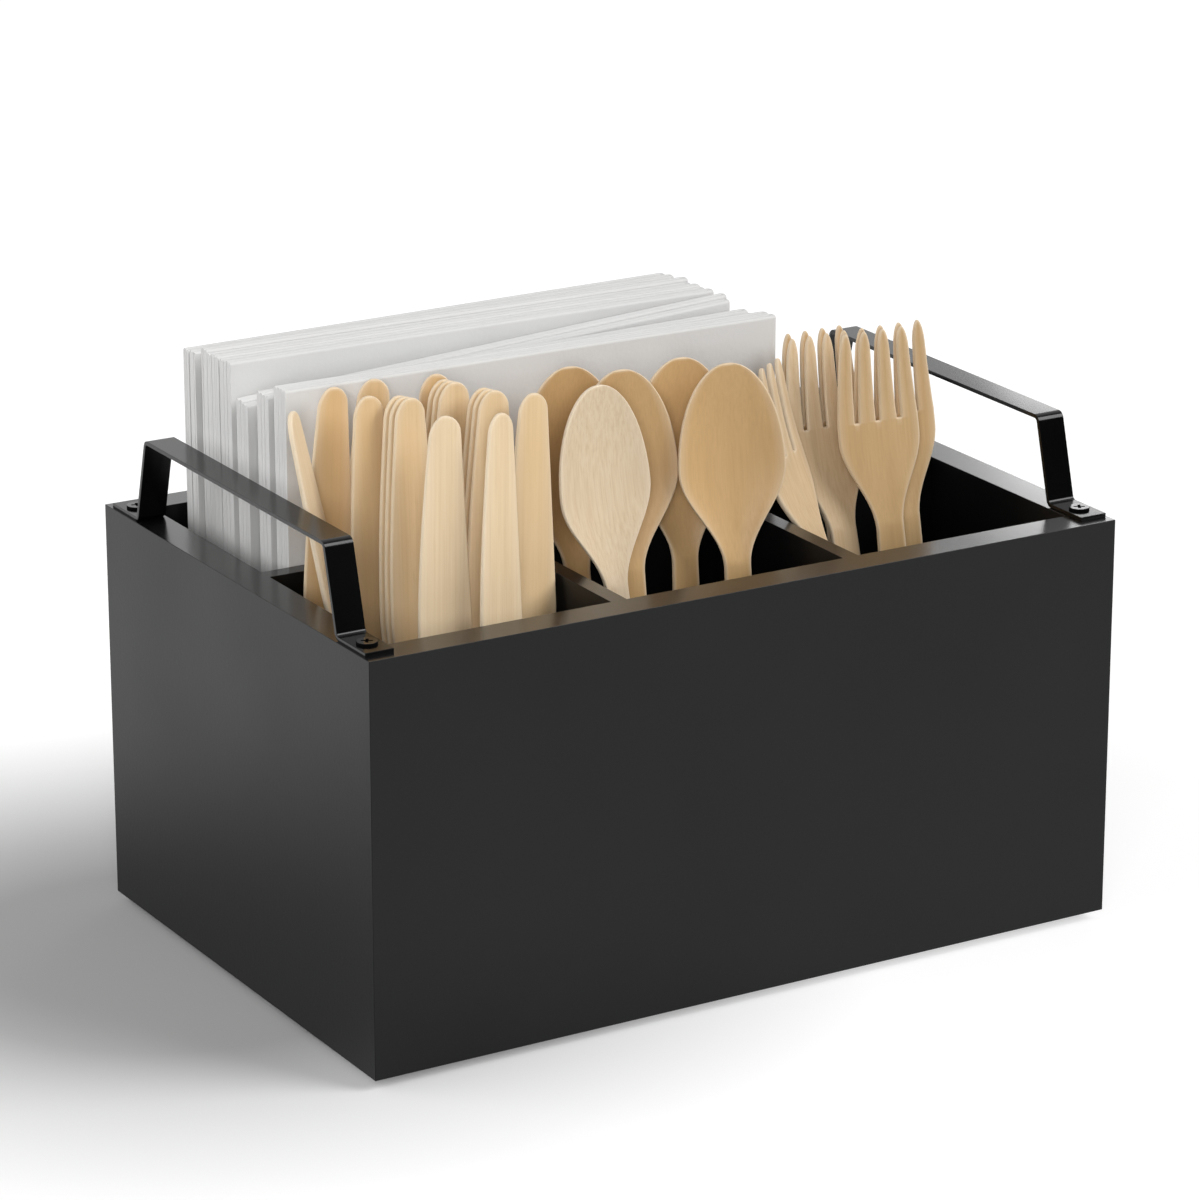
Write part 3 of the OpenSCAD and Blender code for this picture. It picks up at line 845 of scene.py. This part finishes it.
@dataclass
class NapkinStack:
    """Paper napkins, each one square sheet folded twice, standing on edge in the rear bay."""

    paper: float = 1.06 * MM
    flat_steps: int = 12
    fold_steps: int = 8
    ragged: tuple[float, ...] = (0.0, 0.16, 0.06, 0.22)
    slips: tuple[float, ...] = (0.6, 1.1, 0.3, 0.0, 1.5)
    ripple: float = 0.12 * MM
    ripple_run: float = 9
    ripple_shift: float = 1.7
    edge_round: float = 0.08 * MM

    def stations(self, fold: float, reach: float) -> list[float]:
        """Lists the places along the sheet at which it has points, close together in the fold.

        Args:
            fold: Length of half the fold.
            reach: Length of half the sheet.

        Returns:
            The places, with the fold's middle at 0.
        """
        half = steps(0, fold, self.fold_steps) + steps(fold, reach, self.flat_steps)
        return [-place for place in reversed(half)] + [0.0] + half

    def build(self, number: int, solid: Piece, tissue: Material) -> None:
        """Folds one napkin into the room of its solid.

        Args:
            number: The napkin's number in the stack.
            solid: The solid that it stands for.
            tissue: Its material.
        """
        low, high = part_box(solid.name)
        corners = [vertex.co for vertex in solid.data.vertices]
        middle = (low.x + high.x) / 2
        tops = [max(c.z for c in corners if (c.x - middle) * side > 0) for side in (-1, 1)]
        layer = (high.y - low.y - self.paper) / 6
        slip = self.slips[number % len(self.slips)] * MM
        end_x = high.x - 3 * layer - self.paper / 2 - slip
        top_z = high.z - layer - self.paper / 2 - slip / 2
        fold_x = math.pi * layer
        fold_z = math.pi * layer / 2
        along = self.stations(fold_x, fold_x + end_x - low.x - self.paper / 2)
        down = self.stations(fold_z, fold_z + top_z - low.z - self.paper / 2)
        mid_y = (low.y + high.y) / 2

        def folded(row: int, column: int) -> Vector:
            """Folds a point of the flat sheet down at the top, and then back at the right."""
            a, b = along[column], down[row]
            turn = max(-math.pi / 2, min(math.pi / 2, b / layer))
            off = layer * math.sin(turn)
            z = top_z + layer * math.cos(turn) - max(0.0, abs(b) - fold_z)
            swing = max(-math.pi / 2, min(math.pi / 2, a / (2 * layer)))
            radius = 2 * layer + off
            flat = max(0.0, abs(a) - fold_x)
            leaf = (a > 0) * 2 + (b > 0)
            ragged = self.ragged[(leaf + number) % len(self.ragged)] * MM
            flat *= 1 - ragged / (end_x - low.x)
            x = end_x + radius * math.cos(swing) - flat
            y = mid_y - radius * math.sin(swing)
            share = (x - low.x) / (high.x - low.x)
            top = tops[0] + (tops[1] - tops[0]) * share
            z = low.z + (z - low.z) * (top - low.z) / (high.z - low.z)
            y += self.ripple * math.sin(self.ripple_run * share + self.ripple_shift * number)
            return Vector((x, y, z))

        napkin = Bench.grid(f"folded_napkin_{number}", len(down), len(along), folded)
        keep_grain(napkin, [(a + number, b, 0) for b in down for a in along])
        Bench.modify(napkin, "SOLIDIFY", thickness=self.paper, offset=0)
        Bench.face_outwards(napkin)
        Bench.ease(napkin, self.edge_round, 1)
        Bench.smooth(napkin)
        dress(napkin, tissue, Slot.NAPKIN, solid["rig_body"], solid.name)


@dataclass
class Utensil:
    """A wooden utensil: a thin board with rounded edges, standing on the rounded end of its handle."""

    length: float
    butt: float
    thickness: float
    neck: float
    neck_at: float
    edge_round: float = 0.85 * MM
    # Width along the edges over which a painted highlight pales the wood.
    pale_edge: float = 1.3 * MM
    edge_turns: tuple[float, ...] = (0, 25, 48, 70, 90)
    flat_steps: int = 4
    handle_steps: int = 10
    butt_turns: tuple[float, ...] = (0, 18, 34, 48, 60, 70, 78, 84, 90)
    butt_share: float = 0.75
    head_share: float = 0.25
    grain_step: Place = (0.31, 0.17, 0.43)

    @staticmethod
    def tip_share(d: float, length: float) -> float:
        """Share of the width that is left at a distance d from a tip whose rounding has some length."""
        return math.sqrt(max(0.0, 1 - (1 - d / length) ** 2)) if d < length else 1.0

    def handle_half(self, d: float) -> float:
        """Half width of the handle, which widens from the neck and ends in a half circle.

        Args:
            d: Distance from the tip.

        Returns:
            The half width there.
        """
        end = self.length - self.butt / 2
        if d > end:
            return math.sqrt(max(0.0, (self.butt / 2) ** 2 - (d - end) ** 2))
        run = (d - self.neck_at) / (end - self.neck_at)
        return (self.neck + (self.butt - self.neck) * run) / 2

    def handle_stations(self) -> list[float]:
        """Lists the distances from the tip at which the handle has points, neck first."""
        end = self.length - self.butt / 2
        rounded = [end + self.butt / 2 * math.sin(math.radians(turn)) for turn in self.butt_turns]
        return steps(self.neck_at, end, self.handle_steps)[:-1] + rounded

    def shoulder_half(self, d: float, wide_at: float, wide: float) -> float:
        """Half width at a distance d from the tip, on a smooth shoulder from a wide place to the neck."""
        fall = math.cos(math.pi * (d - wide_at) / (self.neck_at - wide_at))
        return self.neck / 2 + (wide - self.neck) / 4 * (1 + fall)

    def head_stations(self) -> list[float]:
        """Lists the distances from the tip at which the head has points, tip first."""
        raise NotImplementedError

    def strips(self, d: float) -> list[tuple[float, float]]:
        """Left and right limits of the board, or of each tine, at a distance d from the tip."""
        raise NotImplementedError

    def set_back(self, d: float, x: float) -> float:
        """Distance of the board's middle behind the handle's plane; a flat board has none."""
        return 0.0

    def slot_end(self) -> float:
        """Distance from the tip to the lower end of the slots; a board without slots has none."""
        return 0.0

    def pattern(self) -> Piece:
        """Models one utensil about the middle of its rounded end, tip up, as a joined front and back face.

        Returns:
            The utensil.
        """
        rows = self.head_stations() + self.handle_stations()
        lay = 2 * len(self.edge_turns) + self.flat_steps - 1
        face = lay * len(self.strips(self.length))
        spots = [[self.across(d, *divmod(min(column, 2 * face - 1 - column), lay), lay)
                  for column in range(2 * face)] for d in rows]

        def point(row: int, column: int) -> Vector:
            """Place of a point: the first half of the columns is the front face, the second the back face."""
            x, edge = spots[row][column]
            bulge = self.thickness / 2 * self.tip_share(edge, self.edge_round)
            y = self.set_back(rows[row], x) + (bulge if column >= face else -bulge)
            return Vector((x, y, self.length - self.butt / 2 - rows[row]))

        board = Bench.grid(type(self).__name__.lower() + "_pattern", len(rows), 2 * face, point)
        # Painted highlight: a share that grows towards each edge and pales the wood there.
        pale = [max(0.0, 1 - edge / self.pale_edge) for row in spots for _, edge in row]
        board.data.attributes.new(EDGE_HIGHLIGHT, "FLOAT", "POINT").data.foreach_set("value", pale)
        self.cut_slots(board, rows, lay, face)
        Bench.face_outwards(board)
        Bench.smooth(board)
        keep_grain(board, [vertex.co for vertex in board.data.vertices])
        return board

    def across(self, d: float, index: int, step: int, lay: int) -> tuple[float, float]:
        """Place across the board, and how far it is from the nearest edge.

        Args:
            d: Distance from the tip.
            index: The strip's number, from the left.
            step: The point's number across the strip.
            lay: Number of points across the strip.

        Returns:
            The distance from the middle line and the distance from the edge.
        """
        strips = self.strips(d)
        left, right = strips[index]
        edge = min(self.edge_round, (right - left) / 2)
        turns = len(self.edge_turns)
        if step < turns:
            x = left + edge * (1 - math.cos(math.radians(self.edge_turns[step])))
        elif step >= lay - turns:
            x = right - edge * (1 - math.cos(math.radians(self.edge_turns[lay - 1 - step])))
        else:
            x = left + edge + (right - left - 2 * edge) * (step - turns + 1) / self.flat_steps
        below = max(0.0, d - self.slot_end())
        from_left = x - left + (below if index > 0 else 0.0)
        from_right = right - x + (below if index < len(strips) - 1 else 0.0)
        return x, max(0.0, min(from_left, from_right, d, self.length - d))

    def cut_slots(self, board: Piece, rows: Sequence[float], lay: int, face: int) -> None:
        """Deletes the faces between the tines.

        Args:
            board: The joined front and back face.
            rows: Distances of its rows from the tip.
            lay: Number of points across a strip.
            face: Number of points across a face.
        """
        def between(piece: Face) -> bool:
            """Tells whether a face lies in a slot."""
            own = [divmod(index, 2 * face) for index in piece.vertices]
            step = min(min(column, 2 * face - 1 - column) for _, column in own)
            depth = max(rows[row] for row, _ in own)
            return step % lay == lay - 1 and step < face - 1 and depth < self.slot_end() + CLOSE

        Bench.pick_faces(board, between)
        with Bench.editing(board):
            bpy.ops.mesh.delete(type="FACE")

    def leans_right(self, points: np.ndarray) -> bool:
        """Tells which of the two ways round a solid stands.

        Args:
            points: The solid's points: across, back and up.

        Returns:
            True if the first axis points to the utensil's right.
        """
        reach = points[:, 2].max() - points[:, 2].min()
        head = points[points[:, 2] > points[:, 2].max() - self.head_share * reach]
        return bool(head[:, 1].mean() > 0)

    def place(self, solid: Piece, up: Vector) -> Matrix:
        """Works out where a utensil stands from its solid and the line that it is lifted along.

        Args:
            solid: The solid.
            up: The direction of its handle, upwards.

        Returns:
            The place of the middle of its rounded end, with X across and Y back.
        """
        points = np.unique(np.array([vertex.co for vertex in solid.data.vertices]).round(7), axis=0)
        axis = np.array(up)
        flat = points - np.outer(points @ axis, axis)
        flat -= flat.mean(0)
        across = np.linalg.eigh(flat.T @ flat)[1][:, -1]
        for sign in (1, -1):
            right = across * sign
            back = np.cross(axis, right)
            own = points @ np.array([right, back, axis]).T
            butt = own[own[:, 2] < own[:, 2].min() + self.butt_share * self.butt]
            foot = (butt.min(0) + butt.max(0)) / 2
            foot[2] = own[:, 2].min() + self.butt / 2
            if self.leans_right(own - foot):
                break
        frame = np.array([right, back, axis]).T
        place = Matrix(frame.tolist()).to_4x4()
        place.translation = Vector(frame @ foot)
        return place

    def build(self, pattern: Piece, number: int, solid: Piece, up: Vector, wood: Material,
              slot: Slot) -> None:
        """Sets a copy of the pattern where a solid stands.

        Args:
            pattern: The utensil to copy.
            number: The copy's number, which shifts its grain.
            solid: The solid that it stands for.
            up: The direction of its handle, upwards.
            wood: Its material.
            slot: The record's slot that the wood goes with.
        """
        utensil = Bench.copy(pattern, "wooden_" + solid.name)
        grain = utensil.data.attributes[GRAIN].data
        points = np.zeros(3 * len(grain))
        grain.foreach_get("vector", points)
        points = points.reshape(-1, 3) + np.multiply(number, self.grain_step)
        grain.foreach_set("vector", points.ravel())
        # Each piece's own tone, part wood tone and part painted shade or painted highlight.
        tone = utensil.data.attributes.new(PIECE_TONE_AND_LIGHT, "FLOAT", "POINT")
        tone.data.foreach_set("value", [PIECE_TONES_AND_LIGHT.get(solid.name, 0.0)] * len(grain))
        utensil.data.transform(self.place(solid, up))
        dress(utensil, wood, slot, solid["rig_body"], solid.name)


@dataclass
class Knife(Utensil):
    """A knife with a straight back on its right, a curved edge on its left and a rounded tip."""

    width: float = 20 * MM
    tip: float = 10.6 * MM
    belly_at: float = 76 * MM
    edge_tip: float = 7.5 * MM
    back_tip: float = 5.5 * MM
    tip_turns: tuple[float, ...] = (0, 8, 16, 26, 38, 52, 66, 80, 90)
    blade_steps: int = 22
    blade_reach: Range = (0.25, 0.8)

    def head_stations(self) -> list[float]:
        """Lists the distances from the tip at which the blade has points, tip first."""
        tip = [self.edge_tip * (1 - math.cos(math.radians(turn))) for turn in self.tip_turns]
        return tip + steps(self.edge_tip, self.neck_at, self.blade_steps)

    def strips(self, d: float) -> list[tuple[float, float]]:
        """Left and right limit at a distance d from the tip."""
        if d > self.neck_at:
            return [(-self.handle_half(d), self.handle_half(d))]
        if d > self.belly_at:
            half = self.shoulder_half(d, self.belly_at, self.width)
            return [(-half, half)]
        swell = self.width - self.tip
        bulge = swell * math.sin(math.pi / 2 * d / self.belly_at)
        edge = self.tip_share(d, self.edge_tip) * (self.tip + bulge) / 2
        back = self.tip_share(d, self.back_tip) * (self.tip + swell * d / self.belly_at) / 2
        return [(-edge, back)]

    def leans_right(self, points: np.ndarray) -> bool:
        """Tells which way round a knife stands: its curved edge reaches further out than its back."""
        below = points[:, 2].max() - points[:, 2]
        near, far = (share * self.belly_at for share in self.blade_reach)
        blade = points[(below > near) & (below < far), 0]
        return bool(blade.max() < -blade.min())


@dataclass
class Spoon(Utensil):
    """A spoon with an oval bowl."""

    flat_steps: int = 12
    bowl: float = 40 * MM
    bowl_mid: float = 38 * MM
    depth: float = 5 * MM
    tip_lift: float = 2 * MM
    tip_turns: int = 18
    shoulder_steps: int = 16

    def half(self, d: float) -> float:
        """Half width at a distance d from the tip."""
        if d < self.bowl_mid:
            return self.bowl / 2 * self.tip_share(d, self.bowl_mid)
        return self.shoulder_half(d, self.bowl_mid, self.bowl) if d < self.neck_at else self.handle_half(d)

    def head_stations(self) -> list[float]:
        """Lists the distances from the tip at which the bowl has points, tip first."""
        shoulder = steps(self.bowl_mid, self.neck_at, self.shoulder_steps)
        return round_steps(self.bowl_mid, self.tip_turns) + shoulder

    def strips(self, d: float) -> list[tuple[float, float]]:
        """Left and right limit at a distance d from the tip."""
        return [(-self.half(d), self.half(d))]

    def set_back(self, d: float, x: float) -> float:
        """Set-back of the bowl.

        Args:
            d: Distance from the tip.
            x: Distance from the middle line.

        Returns:
            The distance behind the handle's plane.
        """
        if d > self.neck_at:
            return 0.0
        half = self.half(d)
        hollow = 1 - (x / half) ** 2 if half else 0.0
        lift = self.tip_lift * (1 - d / self.neck_at) ** 2
        return self.depth * math.sin(math.pi * d / self.neck_at) * hollow - lift


@dataclass
class Fork(Utensil):
    """A fork with a dished head and tapering tines."""

    flat_steps: int = 2
    head: float = 31 * MM
    head_mid: float = 40 * MM
    across_tips: float = 25.3 * MM
    tine: float = 34 * MM
    slot: float = 1.4 * MM
    tine_tip: float = 4.1 * MM
    tine_round: float = 8 * MM
    depth: float = 4 * MM
    tines: int = 4
    tine_steps: int = 18
    root_steps: tuple[float, ...] = (0.1 * MM, 0.3 * MM, 0.6 * MM, 1 * MM)
    shoulder_steps: int = 16

    def half(self, d: float) -> float:
        """Half width at a distance d from the tips, the slots included."""
        if d < self.head_mid:
            swell = (self.head - self.across_tips) * math.sin(math.pi / 2 * d / self.head_mid)
            return (self.across_tips + swell) / 2
        return self.shoulder_half(d, self.head_mid, self.head) if d < self.neck_at else self.handle_half(d)

    def slot_end(self) -> float:
        """Distance from the tips to the lower end of the slots."""
        return self.tine

    def head_stations(self) -> list[float]:
        """Lists the distances from the tips at which the head has points, tips first."""
        root = [self.tine + step for step in self.root_steps]
        shoulder = steps(root[-1], self.neck_at, self.shoulder_steps)
        return round_steps(self.tine, self.tine_steps) + root + shoulder

    def strips(self, d: float) -> list[tuple[float, float]]:
        """Left and right limits of the tines, or of the head's parts below them, at a distance d."""
        base = (2 * self.half(self.tine) - (self.tines - 1) * self.slot) / self.tines
        run = min(1.0, d / self.tine)
        half = self.tip_share(d, self.tine_round) * (self.tine_tip + (base - self.tine_tip) * run) / 2
        scale = self.half(d) / self.half(self.tine) if d > self.tine else 1.0
        limits = []
        for index in range(self.tines):
            order = index - (self.tines - 1) / 2
            tip = order * (self.across_tips - self.tine_tip) / (self.tines - 1)
            middle = tip + (order * (base + self.slot) - tip) * run
            limits.append(((middle - half) * scale, (middle + half) * scale))
        return limits

    def set_back(self, d: float, x: float) -> float:
        """Set-back of the dished head at a distance d from the tips, the same all across."""
        return self.depth * math.sin(math.pi * d / self.neck_at) if d < self.neck_at else 0.0


@dataclass(frozen=True)
class Lamp:
    """A square soft lamp: its place, the height over the middle that it faces, its side and its power."""

    name: str
    at: Place
    aim: float
    side: float
    watts: float


@dataclass
class Studio:
    """Camera, lights, floor and background."""

    camera_at: Place = (-0.887055, -1.487551, 0.701362)
    camera_ahead: Place = (0.48432819, 0.8152106, -0.31758131)
    sensor: float = 36
    lens: float = 150.58
    key_from: Place = (0.58, -0.54, 0.61)
    key_level: float = 0.72
    key_spread: float = math.radians(36)
    lamps: tuple[Lamp, ...] = (
        Lamp("rear_lamp", (1.3, 1.15, 0.42), 0.15, 0.5, 3),
        Lamp("left_lamp", (-1.7, 0.5, 1), 0.17, 1.9, 20),
        Lamp("front_lamp", (-1.1, -1.65, 0.75), 0.17, 0.7, 15),
    )
    floor_size: float = 12
    floor_tone: Colour = (0.6, 0.6, 0.6)
    # Spot beside the box's left wall around which the floor's white glow is held back, painting a deeper
    # shadow there; the glow grows back over the reach below.
    shade_at: Place = (-0.16, 0.04, 0)
    shade_reach: Range = (0.085, 0.255)
    lift: float = 0.55
    fill: float = 0.22
    dim: float = 0.03
    dim_reach: Range = (-0.35, 0.25)

    @staticmethod
    def put(data: bpy.types.Camera | bpy.types.Light, at: Place, ahead: Vector) -> Piece:
        """Puts up the camera or a lamp.

        Args:
            data: The camera or the lamp.
            at: Its place.
            ahead: The direction that it faces.

        Returns:
            Its object.
        """
        holder = bpy.data.objects.new(data.name, data)
        holder.location = at
        holder.rotation_euler = ahead.to_track_quat("-Z", "Y").to_euler()
        bpy.context.scene.collection.objects.link(holder)
        return holder

    def build_camera(self) -> None:
        """Sets the camera at the photograph's viewpoint."""
        data = bpy.data.cameras.new("camera")
        data.sensor_width = self.sensor
        data.lens = self.lens
        bpy.context.scene.camera = self.put(data, self.camera_at, Vector(self.camera_ahead))

    def build_lights(self) -> None:
        """Hangs the soft lamps, and the key light so far away that it lights all of the floor alike."""
        key = bpy.data.lights.new("key_light", "SUN")
        key.energy = self.key_level * math.pi
        key.angle = self.key_spread
        self.put(key, self.key_from, -Vector(self.key_from))
        for lamp in self.lamps:
            panel = bpy.data.lights.new(lamp.name, "AREA")
            panel.size = lamp.side
            panel.energy = lamp.watts
            self.put(panel, lamp.at, Vector((0, 0, lamp.aim)) - Vector(lamp.at))

    def build_floor(self) -> None:
        """Lays a pale floor that runs out into white, and keeps the object's shadow, which is painted darker
        around a spot beside the box's left wall by holding back the floor's glow there.
        """
        Bench.clear()
        bpy.ops.mesh.primitive_plane_add(size=self.floor_size)
        floor = Bench.named("studio_floor")
        board = Board(bpy.data.materials.new("white_floor"))
        ends = {0: board.place(), 1: self.shade_at}
        # Painted shadow: the glow that the camera and reflections see is held back near the shade spot, so
        # the floor is darker there than its lamps make it.
        away = board.add("VectorMath", ends, operation="DISTANCE").outputs["Value"]
        lift = board.spread(away, self.shade_reach, (0, self.lift))
        seen = board.rays("Is Camera Ray", "Is Glossy Ray", "Is Transmission Ray")
        shown = board.add("Math", {0: lift, 1: seen}, operation="MULTIPLY")
        board.plug(board.shader, {
            "Base Color": (*self.floor_tone, 1),
            "Roughness": 1.0,
            "Specular IOR Level": 0.0,
            "Emission Color": WHITE,
            "Emission Strength": shown.outputs[0],
        })
        floor.data.materials.append(board.owner)

    def build_world(self) -> None:
        """Sets a white background, which lights the object softly and is dim in front of it."""
        world = bpy.data.worlds.new("white_room")
        bpy.context.scene.world = world
        board = Board(world, "Background")
        way = board.add("SeparateXYZ", {0: board.add("TexCoord", {}).outputs["Generated"]})
        room = board.spread(way.outputs["Y"], self.dim_reach, (self.dim, 1))
        mirrored = board.rays("Is Glossy Ray", "Is Transmission Ray")
        lit = board.spread(mirrored, (0, 1), (self.fill, room))
        strength = board.spread(board.rays("Is Camera Ray"), (0, 1), (lit, 1))
        board.plug(board.shader, {"Color": WHITE, "Strength": strength})

    def build(self) -> None:
        """Sets up the whole studio."""
        self.build_camera()
        self.build_floor()
        self.build_world()
        self.build_lights()
        bpy.context.scene.view_settings.view_transform = "Standard"


def stock(frame: dict[str, Any]) -> None:
    """Builds the napkins and the cutlery.

    Args:
        frame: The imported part.
    """
    nodes = frame["nodes"]
    up = {joint["child"]: Vector(joint["axis"]).normalized() for joint in frame["joints"]}
    napkins = NapkinStack()
    tissue = TISSUE.material()
    pale, warm = PALE_WOOD.material(), WARM_WOOD.material()
    kinds = {
        "knife": (Knife(206 * MM, 15 * MM, 1.8 * MM, 13 * MM, 112 * MM), pale, Slot.PALE_WOOD),
        "spoon": (Spoon(203 * MM, 14 * MM, 2 * MM, 10 * MM, 74 * MM), warm, Slot.WARM_WOOD),
        "fork": (Fork(204 * MM, 14 * MM, 2 * MM, 10.6 * MM, 73 * MM), warm, Slot.WARM_WOOD),
    }
    for kind, (utensil, wood, slot) in kinds.items():
        pattern = utensil.pattern()
        for number, name in enumerate(sorted(node for node in nodes if node.startswith(kind + "_"))):
            utensil.build(pattern, number, nodes[name], up[nodes[name]["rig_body"]], wood, slot)
        Bench.discard(pattern)
    for name in nodes:
        if name.startswith("napkin_"):
            napkins.build(int(name.rsplit("_", 1)[1]), nodes[name], tissue)


def main() -> None:
    """Builds the caddy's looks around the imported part."""
    logging.basicConfig(level=logging.INFO, format="%(message)s")
    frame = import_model()
    Studio().build()
    box = Box()
    box.build_walls()
    box.build_dividers()
    box.dress_hidden(frame["nodes"])
    coating, blacking, shade_pit = COATING.material(), BLACKING.material(), PAINTED_SHADE_PIT.material()
    for side in (Side.LEFT, Side.RIGHT):
        StrapHandle().build(side.name.lower() + "_handle", coating)
        PanScrews().build(side.name.lower() + "_handle_screws", blacking, shade_pit)
    stock(frame)
    Bench.clear()


if __name__ == "__main__":
    main()
